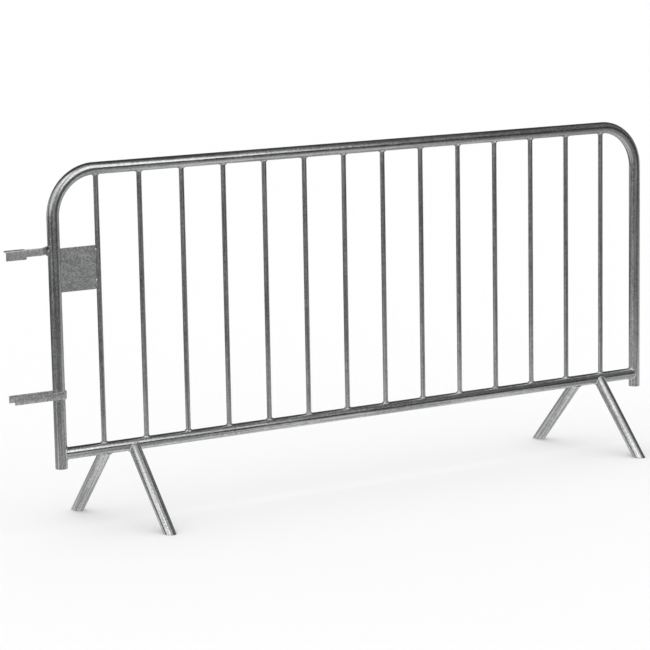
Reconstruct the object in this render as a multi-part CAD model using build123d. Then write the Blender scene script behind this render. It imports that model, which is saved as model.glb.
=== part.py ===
from build123d import *
import math
import os

# Crowd control barrier: a bent tube frame with a welded bottom rail, round bars, a blank plate, two strap
# hooks on one post and four splayed legs, all steel, hot-dip galvanised after welding. Millimetres, +Z up.
# The origin is on the floor under the middle of the frame. +X runs along the barrier, away from the hooks.

# frame
frame_length = 2000.0
frame_height = 1000.0
tube_diameter = 33.7
tube_wall = 1.5
bend_radius = 126.0
bottom_rail_height = 213.0
post_foot_height = 173.0
horn_trim = 5.0

# bars
bar_count = 14
bar_diameter = 14.0
bar_wall = 1.2

# vent holes that let the zinc in and out of the closed tubes
bar_vent_diameter = 8.0
tube_vent_diameter = 12.0

# plate
plate_height = 120.0
plate_drop = 225.0
plate_thickness = 2.0

# legs
leg_spread = 200.0
leg_inset = 139.0
leg_pair_gap = 81.0

# hooks
strap_width = 20.0
strap_thickness = 4.0
fork_clearance = 0.15
lower_hook_height = 377.0
lower_hook_reach = 138.0
upper_hook_drop = 217.0
upper_hook_reach = 148.0
upper_hook_fold = 41.5
upper_hook_crank = 45.0
upper_hook_crank_length = 38.0
upper_hook_bend = 0.5
keeper_length = 57.0
keeper_depth = 26.5
keeper_flange = 18.0
keeper_bend = 3.0

# welds
weld_leg = 2.5
weld_side = 0.8
stitch_length = 18.0
stitch_radius = 2.6
stitch_rise = 0.65
hook_weld_radius = 4.0
hook_weld_length = 20.0
hook_weld_drop = 7.5
hook_weld_places = (-8.0, 1.6), (30.0, 2.6)
hook_stitch_leg = 3.5
hook_stitch_angle = 50.0
hook_stitch_turn = 45.0

# sizes that follow from those
tube_r = tube_diameter / 2
tube_bore_r = tube_r - tube_wall
bar_r = bar_diameter / 2
post_x = frame_length / 2 - tube_r
top_rail_height = frame_height - tube_r
bar_pitch = 2 * post_x / (bar_count + 1)
bar_xs = [-post_x + bar_pitch * (i + 1) for i in range(bar_count)]
fork_r = tube_r + fork_clearance
strap_r = fork_r + strap_thickness
plate_top = frame_height - plate_drop
upper_hook_top = frame_height - upper_hook_drop


def rod(radius, start, end):
    """A solid round rod from one point to another."""
    line = Vector(*end) - Vector(*start)
    place = Plane(origin=start, z_dir=line).location
    return place * Cylinder(radius, line.length, align=(Align.CENTER, Align.CENTER, Align.MIN))


def block(x, y, z):
    """A box from the low and high limits along each axis."""
    size = [high - low for low, high in (x, y, z)]
    middle = [(high + low) / 2 for low, high in (x, y, z)]
    return Pos(*middle) * Box(*size)


def group(solids):
    """Separate solids held together as one node."""
    return Compound(children=[solid for item in solids for solid in item.solids()])


def saddle_weld(main_radius, end_radius, side_leg):
    """Bead where a tube end sits on a main tube. The main tube lies along X, the end comes in along +Z."""
    reach = main_radius + weld_leg
    outline = Ellipse(end_radius + weld_leg, end_radius + side_leg)
    bead = extrude(outline, amount=reach) - rod(end_radius, (0, 0, 0), (0, 0, reach))
    half_length = end_radius + 2 * weld_leg
    bead = bead & rod(reach, (-half_length, 0, 0), (half_length, 0, 0))
    bead = bead - rod(main_radius, (-half_length, 0, 0), (half_length, 0, 0))
    lowest = horn_trim if end_radius == main_radius else 0
    return split(bead, bisect_by=Plane.XY.offset(lowest), keep=Keep.TOP)


def frame_path():
    """Centre line of the frame: up one post, along the top and down the other."""
    corners = [
        (-post_x, 0, post_foot_height),
        (-post_x, 0, top_rail_height),
        (post_x, 0, top_rail_height),
        (post_x, 0, post_foot_height),
    ]
    return FilletPolyline(*corners, radius=bend_radius)


def frame_sweep(section):
    """A section carried along the frame's centre line."""
    path = frame_path()
    return sweep(Plane(origin=path @ 0, z_dir=path % 0) * section, path=path)


frame_envelope = frame_sweep(Circle(tube_r))
rail_envelope = rod(tube_r, (-post_x, 0, bottom_rail_height), (post_x, 0, bottom_rail_height))
leg_fall = Vector(0, leg_spread, -bottom_rail_height).normalized()

# each leg: name, place along the barrier, side it leans to (-1 is the front)
leg_outer_x = post_x - leg_inset
leg_inner_x = leg_outer_x - leg_pair_gap
legs = [
    ("leg_front_left", -leg_inner_x, -1),
    ("leg_rear_left", -leg_outer_x, 1),
    ("leg_front_right", leg_outer_x, -1),
    ("leg_rear_right", leg_inner_x, 1),
]


def frame_tube():
    """Posts and top rail, one tube bent twice, with open feet and vents into each bar and the rail."""
    tube = frame_sweep(Circle(tube_r) - Circle(tube_bore_r))
    for x in bar_xs:
        low = (x, 0, top_rail_height - tube_diameter)
        tube -= rod(bar_vent_diameter / 2, low, (x, 0, top_rail_height))
    for side in (-1, 1):
        inner = (side * (post_x - tube_diameter), 0, bottom_rail_height)
        tube -= rod(tube_vent_diameter / 2, inner, (side * post_x, 0, bottom_rail_height))
    return tube


def bottom_rail():
    """Straight tube between the posts, its ends coped to them and their feather tips trimmed."""
    half = post_x - horn_trim
    ends = (-half, 0, bottom_rail_height), (half, 0, bottom_rail_height)
    rail = rod(tube_r, *ends) - rod(tube_bore_r, *ends) - frame_envelope
    for x in bar_xs:
        rail -= rod(bar_vent_diameter / 2, (x, 0, bottom_rail_height), (x, 0, bottom_rail_height + tube_diameter))
    for name, x, lean in legs:
        start = Vector(x, 0, bottom_rail_height)
        away = Vector(0, lean * leg_fall.Y, leg_fall.Z)
        rail -= rod(tube_vent_diameter / 2, tuple(start), tuple(start + away * tube_diameter))
    return rail


def bar(x):
    """Upright tube between the rails, coped to both."""
    ends = (x, 0, bottom_rail_height), (x, 0, top_rail_height)
    return rod(bar_r, *ends) - rod(bar_r - bar_wall, *ends) - frame_envelope - rail_envelope


def blank_plate():
    """Flat sheet between the hook post and the first bar, its upright edges fitted to both."""
    sheet = block(
        (-post_x, bar_xs[0]),
        (-plate_thickness / 2, plate_thickness / 2),
        (plate_top - plate_height, plate_top),
    )
    first_bar = rod(bar_r, (bar_xs[0], 0, bottom_rail_height), (bar_xs[0], 0, top_rail_height))
    return sheet - frame_envelope - first_bar


def leg(x, lean):
    """Straight tube from the bottom rail to the floor, coped to the rail and cut level at the floor."""
    top = Vector(x, 0, bottom_rail_height)
    away = Vector(0, lean * leg_fall.Y, leg_fall.Z)
    start = tuple(top + away * horn_trim)
    end = tuple(top + away * (bottom_rail_height / -leg_fall.Z + tube_diameter))
    tube = rod(tube_r, start, end) - rod(tube_bore_r, start, end) - rail_envelope
    return split(tube, bisect_by=Plane.XY, keep=Keep.TOP)


def strap(profile, low):
    """Flat bar bent to a profile in plan."""
    return Pos(0, 0, low) * extrude(profile, amount=strap_width)


def fork_outline(radius, reach):
    """Plan of a fork: round the back of the hook post, then straight out along -X on both sides."""
    body = Pos(-post_x - reach / 2, 0) * Rectangle(reach, 2 * radius)
    return body + Pos(-post_x, 0) * Circle(radius)


def lower_hook_strap():
    """Flat bar bent round the hook post, with both legs left long as a fork."""
    profile = fork_outline(strap_r, lower_hook_reach) - fork_outline(fork_r, lower_hook_reach)
    return strap(profile, lower_hook_height - strap_width / 2)


upper_nose_x = -post_x - upper_hook_reach


def upper_hook_strap():
    """Flat bar along the front of the next post's place, folded in to butt on the side of the hook post."""
    fold_x = -post_x - upper_hook_fold
    crank = Vector(1, 0).rotate(Axis.Z, upper_hook_crank)
    inward = Vector(0, 1).rotate(Axis.Z, upper_hook_crank) * strap_thickness
    inner_fold = fold_x - strap_thickness * math.tan(math.radians(upper_hook_crank / 2))
    outer_end = Vector(fold_x, -strap_r) + crank * upper_hook_crank_length
    inner_end = outer_end + inward
    points = [
        (upper_nose_x + keeper_length, -strap_r),
        (fold_x, -strap_r),
        (outer_end.X, outer_end.Y),
        (inner_end.X, inner_end.Y),
        (inner_fold, -fork_r),
        (upper_nose_x + keeper_length, -fork_r),
    ]
    profile = make_face(Polyline(*points, close=True))
    for point, radius in ((points[1], upper_hook_bend + strap_thickness), (points[4], upper_hook_bend)):
        corner = profile.vertices().sort_by_distance(point)[0]
        profile = fillet(corner, radius)
    return strap(profile, upper_hook_top - strap_width) - frame_envelope


def upper_hook_keeper():
    """Short bent angle on the strap's nose: a deep front web and a top flange that holds the next post in."""
    low = upper_hook_top - keeper_depth
    under = upper_hook_top - strap_thickness
    points = [
        (-strap_r, low),
        (-fork_r, low),
        (-fork_r, under),
        (-strap_r + keeper_flange, under),
        (-strap_r + keeper_flange, upper_hook_top),
        (-strap_r, upper_hook_top),
    ]
    section = make_face(Polyline(*points, close=True))
    outer = section.vertices().sort_by_distance((-strap_r, upper_hook_top))[0]
    section = fillet(outer, keeper_bend)
    return Plane.YZ.offset(upper_nose_x) * extrude(section, amount=keeper_length)


def bar_welds(height, turn, envelope):
    """A bead round one end of every bar, turned about X to face along the bar from a rail at this height."""
    bead = Rot(turn, 0, 0) * saddle_weld(tube_r, bar_r, weld_leg)
    return group([Pos(x, 0, height) * bead - envelope for x in bar_xs])


def rail_end_welds():
    """The bead at each end of the bottom rail, round its cope on the post."""
    bead = saddle_weld(tube_r, tube_r, weld_side)
    right = Plane(origin=(post_x, 0, bottom_rail_height), x_dir=(0, 0, 1), z_dir=(-1, 0, 0))
    left = Plane(origin=(-post_x, 0, bottom_rail_height), x_dir=(0, 0, 1), z_dir=(1, 0, 0))
    return group([plane.location * bead for plane in (left, right)])


def leg_welds():
    """The bead at the top of each leg, round its cope on the bottom rail."""
    bead = saddle_weld(tube_r, tube_r, weld_side)
    beads = []
    for name, x, lean in legs:
        away = (0, lean * leg_fall.Y, leg_fall.Z)
        beads.append(Plane(origin=(x, 0, bottom_rail_height), x_dir=(1, 0, 0), z_dir=away).location * bead)
    return group(beads)


def plate_welds():
    """Short stitches on both faces of the plate, near its corners, to the post and to the first bar."""
    plate = blank_plate()
    first_bar = rod(bar_r, (bar_xs[0], 0, bottom_rail_height), (bar_xs[0], 0, top_rail_height))
    low = plate_top - plate_height
    reach = plate_thickness + 2 * stitch_radius
    beads = []
    for x in (-post_x + tube_r, bar_xs[0] - bar_r):
        for z in (low + stitch_length, plate_top - stitch_length):
            for side in (-1, 1):
                y = side * (plate_thickness / 2 + stitch_rise)
                line = (x, y, z - stitch_length / 2), (x, y, z + stitch_length / 2)
                one_face = sorted((side * plate_thickness / 2, side * reach))
                face_side = block((x - reach, x + reach), one_face, (low, plate_top))
                beads.append((rod(stitch_radius, *line) & face_side) - plate - frame_envelope - first_bar)
    return group(beads)


def lower_hook_welds():
    """Beads on the upper and lower edges of the fork, where it lies on the hook post."""
    beads = []
    for edge, out in ((lower_hook_height + strap_width / 2, 1), (lower_hook_height - strap_width / 2, -1)):
        corners = [
            (tube_r, 0, edge),
            (strap_r - strap_thickness / 4, 0, edge),
            (tube_r, 0, edge + out * hook_stitch_leg),
        ]
        section = make_face(Polyline(*corners, close=True))
        for centre in (-hook_stitch_turn, hook_stitch_turn):
            start = Rot(0, 0, centre - hook_stitch_angle / 2) * section
            beads.append(Pos(-post_x, 0, 0) * revolve(start, axis=Axis.Z, revolution_arc=hook_stitch_angle))
    return group(beads)


def upper_hook_welds():
    """Upright beads each side of the strap's end on the hook post, and the bead that holds the keeper."""
    strap_solid = upper_hook_strap()
    keeper = upper_hook_keeper()
    strap_low = upper_hook_top - strap_width
    weld_top = upper_hook_top - hook_weld_drop
    beads = []
    for turn, stand in hook_weld_places:
        x, y, z = Vector(-tube_r - stand, 0).rotate(Axis.Z, -turn)
        line = (x - post_x, y, weld_top - hook_weld_length), (x - post_x, y, weld_top)
        beads.append(rod(hook_weld_radius, *line) - strap_solid - frame_envelope)
    joint_x = upper_nose_x + keeper_length
    middle_y = -(fork_r + strap_r) / 2
    step_low = upper_hook_top - keeper_depth + strap_thickness / 4
    step = (joint_x, middle_y, step_low), (joint_x, middle_y, strap_low)
    beads.append(rod(strap_thickness / 2, *step) - keeper)
    seam = (joint_x, -fork_r, strap_low), (joint_x, -fork_r, upper_hook_top - strap_thickness)
    beads.append(rod(stitch_radius, *seam) - strap_solid - keeper)
    return group(beads)


nodes = {
    "frame_tube": frame_tube(),
    "bottom_rail": bottom_rail(),
    "blank_plate": blank_plate(),
    "lower_hook_strap": lower_hook_strap(),
    "upper_hook_strap": upper_hook_strap(),
    "upper_hook_keeper": upper_hook_keeper(),
    "bar_top_welds": bar_welds(top_rail_height, 180, frame_envelope),
    "bar_bottom_welds": bar_welds(bottom_rail_height, 0, rail_envelope),
    "rail_end_welds": rail_end_welds(),
    "leg_welds": leg_welds(),
    "plate_welds": plate_welds(),
    "lower_hook_welds": lower_hook_welds(),
    "upper_hook_welds": upper_hook_welds(),
}
for number, x in enumerate(bar_xs, start=1):
    nodes[f"bar_{number:02d}"] = bar(x)
for name, x, lean in legs:
    nodes[name] = leg(x, lean)

os.makedirs("parts", exist_ok=True)
for name, shape in nodes.items():
    export_step(shape, f"parts/{name}.step")
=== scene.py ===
import math
import random

import bmesh
import bpy
from mathutils import Matrix, Vector, noise


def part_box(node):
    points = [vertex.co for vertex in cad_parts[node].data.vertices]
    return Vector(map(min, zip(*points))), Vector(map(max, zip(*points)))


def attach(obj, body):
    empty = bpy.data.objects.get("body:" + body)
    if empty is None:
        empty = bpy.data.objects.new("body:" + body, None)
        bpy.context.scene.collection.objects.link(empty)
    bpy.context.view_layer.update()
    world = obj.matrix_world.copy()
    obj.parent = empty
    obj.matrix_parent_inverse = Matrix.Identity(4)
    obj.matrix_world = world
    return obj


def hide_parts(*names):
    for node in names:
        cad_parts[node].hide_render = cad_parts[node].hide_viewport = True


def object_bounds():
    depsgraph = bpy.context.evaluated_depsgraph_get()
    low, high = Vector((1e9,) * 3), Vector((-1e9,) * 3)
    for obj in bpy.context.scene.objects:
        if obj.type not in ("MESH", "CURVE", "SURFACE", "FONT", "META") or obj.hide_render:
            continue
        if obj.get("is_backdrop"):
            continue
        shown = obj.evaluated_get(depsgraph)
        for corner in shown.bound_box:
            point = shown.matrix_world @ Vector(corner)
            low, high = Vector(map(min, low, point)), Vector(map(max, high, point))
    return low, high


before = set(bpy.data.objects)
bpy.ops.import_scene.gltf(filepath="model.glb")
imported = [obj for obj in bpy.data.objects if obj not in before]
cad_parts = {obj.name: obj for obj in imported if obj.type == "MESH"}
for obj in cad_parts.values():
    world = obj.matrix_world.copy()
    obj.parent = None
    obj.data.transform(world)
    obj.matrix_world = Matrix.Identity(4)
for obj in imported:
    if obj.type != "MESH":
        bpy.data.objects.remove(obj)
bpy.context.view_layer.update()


# The frame is one length of steel tube, bent twice on a former to make both posts and the top rail. Its
# feet are left open, so that the zinc drains when the welded barrier is dipped.
frame_low, frame_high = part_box("frame_tube")
tube_radius = frame_high.y
tube_wall = 0.0015
bend_radius = 0.126
post_x = frame_high.x - tube_radius
rail_top = frame_high.z - tube_radius
post_foot = frame_low.z
deburr = 0.00035
tube_sides = 56
straight_step = 0.05
bend_stations = 30
foot_margin = 0.004


class Wire:
    """One output in a node tree. Arithmetic on it adds the Math nodes that work it out."""

    def __init__(self, tree, link=None):
        self.tree = tree
        self.link = link

    def node(self, kind, settings, values, output=0):
        made = self.tree.nodes.new("ShaderNode" + kind)
        for name, setting in settings.items():
            if name == "stops":
                ramp = made.color_ramp.elements
                while len(ramp) < len(setting):
                    ramp.new(1.0)
                for element, (place, colour) in zip(ramp, setting):
                    element.position = place
                    element.color = (*colour, 1.0)
            else:
                setattr(made, name, setting)
        for name, value in values.items():
            if isinstance(value, Wire):
                self.tree.links.new(value.link, made.inputs[name])
            else:
                made.inputs[name].default_value = value
        return Wire(self.tree, made.outputs[output])

    def maths(self, operation, first, second):
        return self.node("Math", {"operation": operation}, {0: first, 1: second})

    def __add__(self, other):
        return self.maths("ADD", self, other)

    def __radd__(self, other):
        return self.maths("ADD", other, self)

    def __sub__(self, other):
        return self.maths("SUBTRACT", self, other)

    def __rsub__(self, other):
        return self.maths("SUBTRACT", other, self)

    def __mul__(self, other):
        return self.maths("MULTIPLY", self, other)

    def __rmul__(self, other):
        return self.maths("MULTIPLY", other, self)

    def __pow__(self, other):
        return self.maths("POWER", self, other)

    def stretched(self, scale):
        return self.node("VectorMath", {"operation": "MULTIPLY"}, {0: self, 1: scale})

    def clouds(self, scale, detail=3.0, roughness=0.55):
        values = {"Vector": self, "Scale": scale, "Detail": detail, "Roughness": roughness}
        return self.node("TexNoise", {}, values)

    def flakes(self, scale):
        """A grey for each zinc crystal, the same all over the crystal."""
        cells = self.node("TexVoronoi", {"feature": "F1"}, {"Vector": self, "Scale": scale}, output=1)
        return self.node("SeparateColor", {}, {"Color": cells})

    def between(self, low, high, to_low=0.0, to_high=1.0):
        values = {"Value": self, "From Min": low, "From Max": high, "To Min": to_low, "To Max": to_high}
        return self.node("MapRange", {"interpolation_type": "SMOOTHSTEP"}, values)


def zinc(name, lay, dull, bright, roughness, streak, fleck, grain, bump):
    """Hot-dip zinc: crystals of slightly different greys, cloudy patches and runs along the piece."""
    material = bpy.data.materials.new(name)
    material.use_nodes = True
    tree = material.node_tree
    start = Wire(tree)
    if lay:
        place = start.node("Attribute", {"attribute_name": "lay"}, {}, output=1)
    else:
        place = start.node("TexCoord", {}, {}, output=3)
    runs = place.stretched((3.0, 170.0, 170.0)).clouds(1.0, 4.0, 0.6).between(0.30, 0.70)
    patches = place.stretched((1.0, 2.2, 2.2)).clouds(14.0, 4.0, 0.6).between(0.32, 0.68)
    crystals = place.flakes(260.0)
    specks = place.clouds(430.0, 2.0, 0.6).between(0.28, 0.72)
    weight = 1.0 / (streak + fleck + grain + 0.12)
    grey = (runs * streak + crystals * fleck + specks * grain + patches * 0.12) * weight
    colour = start.node(
        "Mix",
        {"data_type": "RGBA"},
        {"Factor": grey.between(0.25, 0.75), "A": (*dull, 1.0), "B": (*bright, 1.0)},
        output=2,
    )
    low, high = roughness
    rough = low + (high - low) * (0.30 * patches + 0.40 * crystals + 0.30 * (1.0 - runs))
    relief = runs * 0.35 * streak + crystals * 0.25 * fleck + specks * 0.6 * grain
    height = start.node("Bump", {}, {"Height": relief, "Strength": 1.0, "Distance": bump})
    shader = tree.nodes["Principled BSDF"]
    shader.inputs["Metallic"].default_value = 1.0
    tree.links.new(colour.link, shader.inputs["Base Color"])
    tree.links.new(rough.link, shader.inputs["Roughness"])
    tree.links.new(height.link, shader.inputs["Normal"])
    return material


tube_zinc = zinc(
    "tube zinc", True, dull=(0.40, 0.405, 0.41), bright=(0.80, 0.805, 0.81), roughness=(0.12, 0.28),
    streak=0.9, fleck=0.40, grain=0.40, bump=0.00022,
)


def shaped(name, rings, lays, closed, material):
    """A piece from rings of points: closed joins the last ring to the first, else both ends are capped."""
    body = bpy.data.meshes.new(name)
    count = len(rings[0])
    points = [point for ring in rings for point in ring]
    faces = []
    for row in range(len(rings) if closed else len(rings) - 1):
        here = row * count
        there = ((row + 1) % len(rings)) * count
        for column in range(count):
            beside = (column + 1) % count
            faces.append((here + column, here + beside, there + beside, there + column))
    if not closed:
        faces.append(tuple(reversed(range(count))))
        faces.append(tuple(range(len(points) - count, len(points))))
    body.from_pydata(points, [], faces)
    mesh = bmesh.new()
    mesh.from_mesh(body)
    bmesh.ops.recalc_face_normals(mesh, faces=mesh.faces)
    mesh.to_mesh(body)
    mesh.free()
    along = body.attributes.new("lay", "FLOAT_VECTOR", "POINT")
    along.data.foreach_set("vector", [number for ring in lays for lay in ring for number in lay])
    body.shade_smooth()
    body.set_sharp_from_angle(angle=math.radians(38))
    body.materials.append(material)
    piece = bpy.data.objects.new(name, body)
    bpy.context.scene.collection.objects.link(piece)
    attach(piece, "root")
    return piece


def tube_piece(name, route, stations, radius, wall, first, last, sides=tube_sides):
    """An open tube along a route. first and last give where each line along the tube starts and stops."""
    turns = [2 * math.pi * (side + 0.5) / sides for side in range(sides)]
    spokes = [(math.cos(turn), math.sin(turn)) for turn in turns]
    bore = radius - wall
    rows = [(radius, first, deburr)]
    rows += [(radius, station, 0.0) for station in stations]
    rows += [(radius, last, -deburr), (radius - deburr, last, 0.0), (bore + deburr, last, 0.0)]
    rows += [(bore, last, -deburr)]
    rows += [(bore, station, 0.0) for station in reversed(stations)]
    rows += [(bore, first, deburr), (bore + deburr, first, 0.0), (radius - deburr, first, 0.0)]
    rings = []
    lays = []
    start = random.Random(name).uniform(0.0, 40.0)
    for reach, where, shift in rows:
        ring = []
        lay = []
        for across, up in spokes:
            at = where(across * reach, up * reach) if callable(where) else where
            centre, side, rise = route(at + shift)
            ring.append(centre + side * across * reach + rise * up * reach)
            lay.append((start + at + shift, across * reach, up * reach))
        rings.append(ring)
        lays.append(lay)
    return shaped(name, rings, lays, True, tube_zinc)


def spaced(start, stop, step):
    """Even places from start to stop, no further apart than step."""
    count = max(1, math.ceil((stop - start) / step))
    return [start + (stop - start) * place / count for place in range(count + 1)]


post_run = rail_top - bend_radius - post_foot
bend_run = bend_radius * math.pi / 2
top_run = 2 * (post_x - bend_radius)


def frame_route(distance):
    """Centre, inward side and rise of the frame's tube at a distance from the left foot."""
    centre = Vector((-post_x, 0, post_foot))
    ahead = Vector((0, 0, 1))
    post = (post_run, 0)
    bend = (bend_run, bend_radius)
    for run, radius in (post, bend, (top_run, 0), bend, post):
        step = min(distance, run)
        inward = Vector((ahead.z, 0, -ahead.x))
        if radius:
            turn = step / radius
            centre = centre + inward * radius * (1 - math.cos(turn)) + ahead * radius * math.sin(turn)
            ahead = ahead * math.cos(turn) + inward * math.sin(turn)
        else:
            centre = centre + ahead * step
        distance -= step
        if distance <= 0:
            break
    return centre, Vector((ahead.z, 0, -ahead.x)), Vector((0, 1, 0))


frame_length = 2 * post_run + 2 * bend_run + top_run
corners = [foot_margin, post_run, post_run + bend_run, post_run + bend_run + top_run]
corners += [post_run + 2 * bend_run + top_run, frame_length - foot_margin]
stations = []
for number, (start, stop) in enumerate(zip(corners, corners[1:])):
    step = bend_run / bend_stations if number in (1, 3) else straight_step
    stations += spaced(start, stop, step)[:-1]
stations.append(corners[-1])
frame_piece = tube_piece(
    "frame-tube", frame_route, stations, tube_radius, tube_wall,
    first=lambda across, up: 0.0, last=lambda across, up: frame_length,
)
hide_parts("frame_tube")


# The bottom rail is a straight length of the same tube, its ends notched to sit round the posts.
low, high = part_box("bottom_rail")
rail_low = (low.z + high.z) / 2
horn_trim = 0.005
step_length = 0.04
notch_margin = 0.003


def straight_route(origin, side, rise):
    """A straight centre line from an origin, for a tube with the given side and rise directions."""
    ahead = side.cross(rise).normalized()
    return lambda distance: (origin + ahead * distance, side, rise)


def notch(radius, tube):
    """Where a line along a tube meets the main tube it is notched to, which lies along the tube's side."""
    shortest = horn_trim if tube >= radius else 0.0
    return lambda across, up: max(math.sqrt(max(radius**2 - up**2, 0.0)), shortest)


cope = notch(tube_radius, tube_radius)
rail_piece = tube_piece(
    "bottom-rail",
    straight_route(Vector((-post_x, 0, rail_low)), Vector((0, 0, -1)), Vector((0, 1, 0))),
    spaced(tube_radius + notch_margin, 2 * post_x - tube_radius - notch_margin, step_length),
    tube_radius, tube_wall,
    first=cope, last=lambda across, up: 2 * post_x - cope(across, up),
)
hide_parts("bottom_rail")


# The bars are fourteen light round tubes, notched at both ends and welded between the rails.
bar_names = sorted(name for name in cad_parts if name.startswith("bar_") and name[4:].isdigit())
bar_wall = 0.0012
bar_sides = 32
bar_margin = 0.002
bar_xs = []
for name in bar_names:
    low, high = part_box(name)
    bar_radius = (high.x - low.x) / 2
    x = (high.x + low.x) / 2
    bar_xs.append(x)
    sit = notch(tube_radius, bar_radius)
    rise = rail_top - rail_low
    piece = tube_piece(
        name.replace("_", "-tube-"),
        straight_route(Vector((x, 0, rail_low)), Vector((1, 0, 0)), Vector((0, 1, 0))),
        spaced(tube_radius + bar_margin, rise - tube_radius - bar_margin, step_length),
        bar_radius, bar_wall,
        first=sit, last=lambda across, up: rise - sit(across, up), sides=bar_sides,
    )
    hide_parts(name)


# Each leg is a straight length of the frame's tube, notched to the bottom rail and sawn level at the floor.
leg_names = ("leg_front_left", "leg_rear_left", "leg_front_right", "leg_rear_right")
leg_routes = {}
spread_attempts = 20
sawn_margin = 2.2
for name in leg_names:
    low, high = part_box(name)
    x = (low.x + high.x) / 2
    lean = -1 if low.y + high.y < 0 else 1
    outer = -low.y if lean < 0 else high.y
    # The sawn foot is wider than the tube by the slope of the leg, which depends on the spread itself.
    spread = outer
    for attempt in range(spread_attempts):
        spread = outer - tube_radius * math.hypot(spread, rail_low) / rail_low
    fall = Vector((0, lean * spread, -rail_low)).normalized()
    side = Vector((1, 0, 0))
    rise = fall.cross(side).normalized()
    origin = Vector((x, 0, rail_low))
    leg_routes[name] = (origin, fall, side, rise)
    reach = math.hypot(spread, rail_low)
    slope = rise.z / -fall.z
    piece = tube_piece(
        name.replace("_", "-"),
        straight_route(origin, side, rise),
        spaced(tube_radius + notch_margin, reach - sawn_margin * tube_radius * abs(slope), step_length / 2),
        tube_radius, tube_wall,
        first=cope, last=lambda across, up: reach + up * slope,
    )
    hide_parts(name)


# The plate is a flat sheet between the hook post and the first bar, left blank. Sheet takes a duller zinc
# than tube does, with a fine even fleck.
flat_zinc = zinc(
    "flat zinc", False, dull=(0.56, 0.565, 0.57), bright=(0.96, 0.965, 0.97), roughness=(0.26, 0.42),
    streak=0.0, fleck=0.9, grain=0.9, bump=0.00032,
)


plate_edge = 0.0004
plate_step = 0.03


def softened(piece, radius):
    """Edges rounded as the zinc leaves them."""
    bevel = piece.modifiers.new("softened edges", "BEVEL")
    bevel.width = radius
    bevel.segments = 3
    bevel.limit_method = "ANGLE"


low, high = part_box("blank_plate")
outline = [(low.x, low.y), (high.x, low.y), (high.x, high.y), (low.x, high.y)]
rings = [[Vector((x, y, z)) for x, y in outline] for z in spaced(low.z, high.z, plate_step)]
plate_piece = shaped("blank-plate", rings, rings, False, flat_zinc)
softened(plate_piece, plate_edge)
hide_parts("blank_plate")


# Both hooks are 20 by 4 mm flat bar, bent cold. The lower one goes round the back of the post and its two
# legs are left long, as an open fork for the next barrier's post.
strap_thickness = 0.004
strap_edge = 0.0008
bend_steps = 24
strap_step = 0.012
end_tuck = 0.9
end_shrink = 0.985


def strap_section(width, thickness):
    """Rounded rectangle: (out, up) points round the bar's section."""
    points = []
    for corner, (out, up) in enumerate(((1, 1), (-1, 1), (-1, -1), (1, -1))):
        centre = (out * (thickness / 2 - strap_edge), up * (width / 2 - strap_edge))
        for step in range(4):
            turn = math.pi / 2 * (corner + step / 3)
            points.append((centre[0] + strap_edge * math.cos(turn), centre[1] + strap_edge * math.sin(turn)))
    return points


def strap_piece(name, node, line):
    """Flat bar swept along a line in plan: a list of ((x, y), (outward x, outward y))."""
    low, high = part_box(node)
    middle = (low.z + high.z) / 2
    section = strap_section(high.z - low.z, strap_thickness)
    rings = []
    ends = (0, len(line) - 1)
    for number, (place, outward) in enumerate(line):
        tuck = end_tuck if number in ends else 1.0
        shrink = end_shrink if number in ends else 1.0
        ring = []
        for out, up in section:
            x = place[0] + outward[0] * out * tuck
            y = place[1] + outward[1] * out * tuck
            ring.append(Vector((x, y, middle + up * shrink)))
        rings.append(ring)
    piece = shaped(name, rings, rings, False, flat_zinc)
    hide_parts(node)


def straight_line(start, stop, outward):
    """Stations along a straight stretch, with one close to each end for the rounded arris."""
    length = math.dist(start, stop)
    places = [0.0] + spaced(strap_edge, length - strap_edge, strap_step) + [length]
    return [(tuple(a + (b - a) * place / length for a, b in zip(start, stop)), outward) for place in places]


def arc_line(centre, radius, start, stop):
    """Stations round an arc in plan, from one angle to another."""
    line = []
    for step in range(1, bend_steps):
        turn = start + (stop - start) * step / bend_steps
        out = (math.cos(turn), math.sin(turn))
        line.append(((centre[0] + radius * out[0], centre[1] + radius * out[1]), out))
    return line


fork_low, fork_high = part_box("lower_hook_strap")
fork_middle = fork_high.y - strap_thickness / 2
line = straight_line((fork_low.x, -fork_middle), (-post_x, -fork_middle), (0, -1))
line += arc_line((-post_x, 0), fork_middle, -math.pi / 2, math.pi / 2)
line += straight_line((-post_x, fork_middle), (fork_low.x, fork_middle), (0, 1))
strap_piece("lower-hook", "lower_hook_strap", line)


# The upper hook's arm runs along the front, then is cranked in by 45 degrees to meet the side of the post.
arm_low, arm_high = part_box("upper_hook_strap")
fold_from_post = 0.0415
fold_x = -post_x - fold_from_post
crank = math.radians(45)
crank_length = 0.038
fold_radius = 0.0025
fold_outer_radius = fold_radius + strap_thickness / 2
fold_start = fold_x - fold_outer_radius * math.tan(crank / 2)
fold_centre = (fold_start, -fork_middle + fold_radius)
fold_end = (fold_start + fold_radius * math.sin(crank), fold_centre[1] - fold_radius * math.cos(crank))
facing = (math.sin(crank), -math.cos(crank))
crank_end = (
    fold_x + crank_length * math.cos(crank) - strap_thickness / 2 * facing[0],
    -fork_high.y + crank_length * math.sin(crank) - strap_thickness / 2 * facing[1],
)
line = straight_line((arm_low.x, -fork_middle), (fold_start, -fork_middle), (0, -1))
line += arc_line(fold_centre, fold_radius, -math.pi / 2, -math.pi / 2 + crank)
line += straight_line(fold_end, crank_end, facing)
strap_piece("upper-hook-arm", "upper_hook_strap", line)


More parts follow.
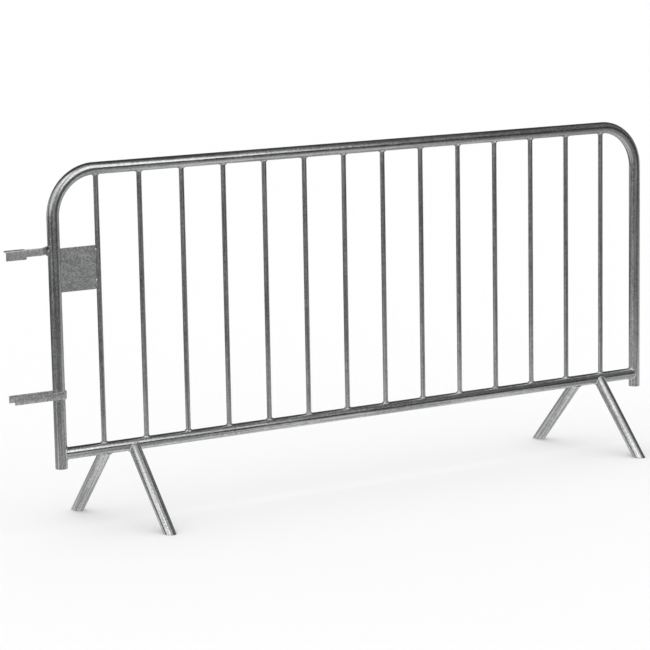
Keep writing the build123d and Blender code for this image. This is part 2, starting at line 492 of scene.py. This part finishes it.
# The keeper is a short bent angle welded to the arm's nose. Its web is deeper than the arm, and its top
# flange turns back to keep the next barrier's post in.
low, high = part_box("upper_hook_keeper")
keeper_bend = 0.003
keeper_bend_steps = 6
keeper_edge = 0.0005
keeper_end = 0.0004
keeper_step = 0.01
web_back = low.y + strap_thickness
flange_under = high.z - strap_thickness
profile = [(low.y + keeper_edge, low.z), (web_back - keeper_edge, low.z)]
profile += [(web_back, low.z + keeper_edge), (web_back, flange_under)]
profile += [(high.y - keeper_edge, flange_under), (high.y, flange_under + keeper_edge)]
profile += [(high.y, high.z - keeper_edge), (high.y - keeper_edge, high.z)]
for step in range(keeper_bend_steps + 1):
    turn = math.pi / 2 * (1 + step / keeper_bend_steps)
    across = low.y + keeper_bend + keeper_bend * math.cos(turn)
    profile.append((across, high.z - keeper_bend + keeper_bend * math.sin(turn)))
profile.append((low.y, low.z + keeper_edge))
places = [low.x] + spaced(low.x + keeper_end, high.x - keeper_end, keeper_step) + [high.x]
rings = [[Vector((x, y, z)) for y, z in profile] for x in places]
keeper_piece = shaped("upper-hook-keeper", rings, rings, False, flat_zinc)
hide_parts("upper_hook_keeper")


# The welds are laid by hand before dipping. Each bead is a line of overlapping puddles, a little uneven in
# width, and the zinc leaves them brighter than the tube.
weld_zinc = zinc(
    "weld zinc", True, dull=(0.55, 0.555, 0.56), bright=(0.93, 0.935, 0.94), roughness=(0.12, 0.24),
    streak=0.1, fleck=0.5, grain=0.6, bump=0.00025,
)
puddle = 0.0024
bead_step = 0.0008
bead_sides = 12


def bead_rings(line, size, closed, seed):
    """Rings of one bead along a line of points, swelling and shrinking with each puddle."""
    rings = []
    lays = []
    travelled = 0.0
    count = len(line)
    for number, point in enumerate(line):
        before = line[number - 1] if number or closed else point
        after = line[(number + 1) % count] if number < count - 1 or closed else point
        travelled += (point - before).length if number else 0.0
        ahead = (after - before).normalized()
        upright = abs(ahead.z) > 0.9
        side = (ahead.orthogonal() if upright else ahead.cross(Vector((0, 0, 1)))).normalized()
        rise = side.cross(ahead)
        wave = (travelled / puddle + noise.noise(point * 160.0 + seed)) % 1.0
        swell = 1.0 + 0.10 * wave + 0.30 * noise.noise(point * 240.0 + seed)
        if not closed:
            nearest = min(number, count - 1 - number) / max(1, count - 1) * 2
            swell *= min(1.0, 0.35 + 3.2 * nearest)
        ring = []
        lay = []
        for step in range(bead_sides):
            turn = 2 * math.pi * step / bead_sides
            offset = (side * math.cos(turn) + rise * math.sin(turn)) * size * swell
            ring.append(point + offset)
            lay.append((point.x + point.z, offset.x, offset.y))
        rings.append(ring)
        lays.append(lay)
    return rings, lays


def bead_pieces(name, node, runs):
    """One piece for a node's beads. runs holds (line of points, size, whether it is a full circle)."""
    parts = []
    for number, (line, size, closed) in enumerate(runs):
        rings, lays = bead_rings(line, size, closed, Vector((number * 3.7, 1.3, 0.4)))
        parts.append(shaped(f"{name}-{number}", rings, lays, closed, weld_zinc))
    with bpy.context.temp_override(active_object=parts[0], selected_editable_objects=parts, object=parts[0]):
        bpy.ops.object.join()
    parts[0].name = name
    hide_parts(node)


def saddle_line(origin, ahead, side, rise, main, end, size):
    """Points round the joint of a tube end on a main tube that lies along side."""
    points = []
    count = round(2 * math.pi * end / bead_step)
    stand = size * 0.30
    seat = main + size * 0.25
    shortest = horn_trim + size if end == main else 0.0
    for step in range(count):
        turn = 2 * math.pi * step / count
        across = math.cos(turn) * (end + stand)
        up = math.sin(turn) * (end + stand if end < main else end)
        sit = math.sqrt(max(seat**2 - up**2, shortest**2))
        points.append(origin + ahead * sit + side * across + rise * up)
    return points


bead = 0.0023
side = Vector((1, 0, 0))
back = Vector((0, 1, 0))
up = Vector((0, 0, 1))
runs = []
for x in bar_xs:
    line = saddle_line(Vector((x, 0, rail_top)), -up, side, back, tube_radius, bar_radius, bead)
    runs.append((line, bead, True))
bead_pieces("bar-top-welds", "bar_top_welds", runs)
runs = []
for x in bar_xs:
    line = saddle_line(Vector((x, 0, rail_low)), up, side, back, tube_radius, bar_radius, bead)
    runs.append((line, bead, True))
bead_pieces("bar-bottom-welds", "bar_bottom_welds", runs)
runs = []
for direction in (1, -1):
    origin = Vector((-direction * post_x, 0, rail_low))
    line = saddle_line(origin, side * direction, up, back, tube_radius, tube_radius, bead)
    runs.append((line, bead, True))
bead_pieces("rail-end-welds", "rail_end_welds", runs)
runs = []
for origin, fall, leg_side, rise in leg_routes.values():
    line = saddle_line(origin, fall, leg_side, rise, tube_radius, tube_radius, bead)
    runs.append((line, bead, True))
bead_pieces("leg-welds", "leg_welds", runs)

# The plate has a short stitch near each corner, on both faces.
low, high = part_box("blank_plate")
weld_low, weld_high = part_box("plate_welds")
stitch = 0.018
stitch_bead = 0.0022
stitch_stand = 0.0016
runs = []
for x in (low.x, high.x):
    for z in (weld_low.z, weld_high.z - stitch):
        for face in (-1, 1):
            start = Vector((x, face * stitch_stand, z))
            runs.append(([start + up * step for step in spaced(0.0, stitch, bead_step)], stitch_bead, False))
bead_pieces("plate-welds", "plate_welds", runs)

# The fork is tacked to the post along its upper and lower edges, either side of its bend.
tack_reach = tube_radius + 0.0012
tack_half_angle = 25
tack_step = 2.5
runs = []
for edge in (fork_low.z, fork_high.z):
    for middle in (-45, 45):
        line = []
        for degrees in spaced(middle - tack_half_angle, middle + tack_half_angle, tack_step):
            turn = math.radians(degrees)
            line.append(Vector((-post_x + tack_reach * math.cos(turn), tack_reach * math.sin(turn), edge)))
        runs.append((line, stitch_bead, False))
bead_pieces("lower-hook-welds", "lower_hook_welds", runs)

# The arm is welded to the post by two upright beads, and the keeper to the arm by two more at its step.
post_bead = 0.0034
post_bead_foot = 0.001
post_bead_top = 0.019
step_bead = 0.0024
step_bead_foot = 0.001
runs = []
weld_low, weld_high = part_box("upper_hook_welds")
for degrees, stand in ((-8, 0.0012), (30, 0.0022)):
    turn = math.radians(degrees)
    x = -post_x - (tube_radius + stand) * math.cos(turn)
    y = (tube_radius + stand) * math.sin(turn)
    heights = spaced(weld_low.z + post_bead_foot, weld_low.z + post_bead_top, bead_step)
    line = [Vector((x, y, z)) for z in heights]
    runs.append((line, post_bead, False))
keeper_low, keeper_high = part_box("upper_hook_keeper")
seam = Vector((keeper_high.x, -fork_middle + strap_thickness / 2, 0))
line = [seam + up * z for z in spaced(arm_low.z, arm_high.z - strap_thickness, bead_step)]
runs.append((line, stitch_bead, False))
step_foot = Vector((keeper_high.x, -fork_middle, 0))
line = [step_foot + up * z for z in spaced(keeper_low.z + step_bead_foot, arm_low.z, bead_step)]
runs.append((line, step_bead, False))
bead_pieces("upper-hook-welds", "upper_hook_welds", runs)


# The studio: a wide pale floor, and two glowing sheets that only the zinc mirrors. One lies on the floor and
# is brightest under the barrier. The other is an upright soft panel in front, above the barrier's height.
floor_half = 75.0
floor_drop = -0.0002
floor_grey = (0.86, 0.86, 0.86, 1.0)
black = (0.0, 0.0, 0.0, 1.0)
white = (1.0, 1.0, 1.0, 1.0)
panel_strength = 1.5


def stage_sheet(name, corners, paint_name, rise=0.0):
    """A single face of the studio, with its own paint. Gives the sheet, its paint's tree and its shader."""
    mesh = bpy.data.meshes.new(name)
    mesh.from_pydata(corners, [], [(0, 1, 2, 3)])
    sheet = bpy.data.objects.new(name, mesh)
    sheet.location.z = rise
    bpy.context.scene.collection.objects.link(sheet)
    paint = bpy.data.materials.new(paint_name)
    paint.use_nodes = True
    mesh.materials.append(paint)
    sheet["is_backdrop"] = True
    shader = paint.node_tree.nodes["Principled BSDF"]
    shader.inputs["Specular IOR Level"].default_value = 0.0
    return sheet, paint.node_tree, shader


def only_mirrored(sheet, shader, strength):
    """Makes a sheet black paint that glows, and that nothing sees but a shiny surface."""
    shader.inputs["Base Color"].default_value = black
    shader.inputs["Emission Strength"].default_value = strength
    sheet.visible_camera = False
    sheet.visible_diffuse = False
    sheet.visible_shadow = False


def level_corners(half_x, half_y):
    """Corners of a level rectangle about the origin."""
    return [(-half_x, -half_y, 0), (half_x, -half_y, 0), (half_x, half_y, 0), (-half_x, half_y, 0)]


corners = level_corners(floor_half, floor_half)
floor, tree, shader = stage_sheet("floor", corners, "floor paint", floor_drop)
shader.inputs["Base Color"].default_value = floor_grey
shader.inputs["Roughness"].default_value = 0.9
floor.visible_glossy = False

card, tree, shader = stage_sheet("floor card", level_corners(7, 5), "floor card paint", floor_drop / 2)
only_mirrored(card, shader, 1.0)
place = Wire(tree).node("TexCoord", {}, {}, output=3)
along = place.node("SeparateXYZ", {}, {"Vector": place}, output=0)
across = place.node("SeparateXYZ", {}, {"Vector": place}, output=1)
squared = across * across
broad = 0.36 * (((squared * squared) * 0.20 + 1.0) ** -1.0)
narrow = 0.25 * ((squared * 44.0 + 1.0) ** -1.0)
glow = (0.12 + broad + narrow) * along.between(-3.4, -1.2, 0.4, 1.0)
tree.links.new(glow.link, shader.inputs["Emission Color"])

corners = [(-1.6, -3, 1.7), (1.75, -3, 1.7), (1.75, -3, 5.4), (-1.6, -3, 5.4)]
panel, tree, shader = stage_sheet("soft panel", corners, "soft panel light")
only_mirrored(panel, shader, panel_strength)
shader.inputs["Emission Color"].default_value = white

# The room that the zinc mirrors is dim, with bright patches to the upper left, to the right, behind to the
# left and overhead, and a faint one in front. It is darker high up behind, and level in front to the right.
# Everything that isn't a mirror is lit evenly from all round.
even_light = 1.16
world = bpy.data.worlds.new("studio")
bpy.context.scene.world = world
world.use_nodes = True
tree = world.node_tree
start = Wire(tree)
towards = start.node("TexCoord", {}, {}, output=0)


def lobe(direction, inner, outer):
    """1 inside a cone about a direction, falling to 0 outside it. Angles in degrees."""
    unit = tuple(Vector(direction).normalized())
    facing = start.node("VectorMath", {"operation": "DOT_PRODUCT"}, {0: towards, 1: unit}, output=1)
    return facing.between(math.cos(math.radians(outer)), math.cos(math.radians(inner)))


bright_patches = (
    (0.85, (-0.761, -0.204, 0.616), 26, 48),
    (0.40, (-0.498, 0.863, -0.087), 10, 30),
    (0.75, (0.955, 0.167, -0.242), 9, 22),
    (0.28, (-0.128, -0.352, 0.927), 18, 40),
    (0.14, (-0.10, -0.99, -0.08), 14, 30),
)
dark_patches = ((0.55, (0.3, 0.60, 0.75), 30, 60), (0.75, (0.66, -0.74, 0.0), 12, 24))
room = 0.15
for strength, direction, inner, outer in bright_patches:
    room = room + strength * lobe(direction, inner, outer)
for strength, direction, inner, outer in dark_patches:
    room = room * (1.0 - strength * lobe(direction, inner, outer))
mirrored = start.node("LightPath", {}, {}, output=3)
glow = mirrored * room + (1.0 - mirrored) * even_light
tree.nodes["Background"].inputs["Color"].default_value = white
tree.links.new(glow.link, tree.nodes["Background"].inputs["Strength"])

# The camera stands well back and to the left with a long lens, a little above the barrier.
camera_place = Vector((-3.9325, -6.2242, 1.7133))
camera_turn = math.radians(31.373)
camera_tilt = math.radians(9.599)
camera_roll = math.radians(-1.065)
camera_lens = bpy.data.cameras.new("camera")
camera_lens.lens = 142.96
camera_lens.sensor_width = 36.0
camera_lens.clip_end = 500.0
camera = bpy.data.objects.new("camera", camera_lens)
reach = math.cos(camera_tilt)
forward = Vector((math.sin(camera_turn) * reach, math.cos(camera_turn) * reach, -math.sin(camera_tilt)))
level = Vector((math.cos(camera_turn), -math.sin(camera_turn), 0))
over = level.cross(forward)
right = level * math.cos(camera_roll) + over * math.sin(camera_roll)
top = over * math.cos(camera_roll) - level * math.sin(camera_roll)
camera.matrix_world = Matrix.Translation(camera_place) @ Matrix((right, top, -forward)).transposed().to_4x4()
bpy.context.scene.collection.objects.link(camera)
bpy.context.scene.camera = camera
bpy.context.scene.view_settings.view_transform = "Standard"

low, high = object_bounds()
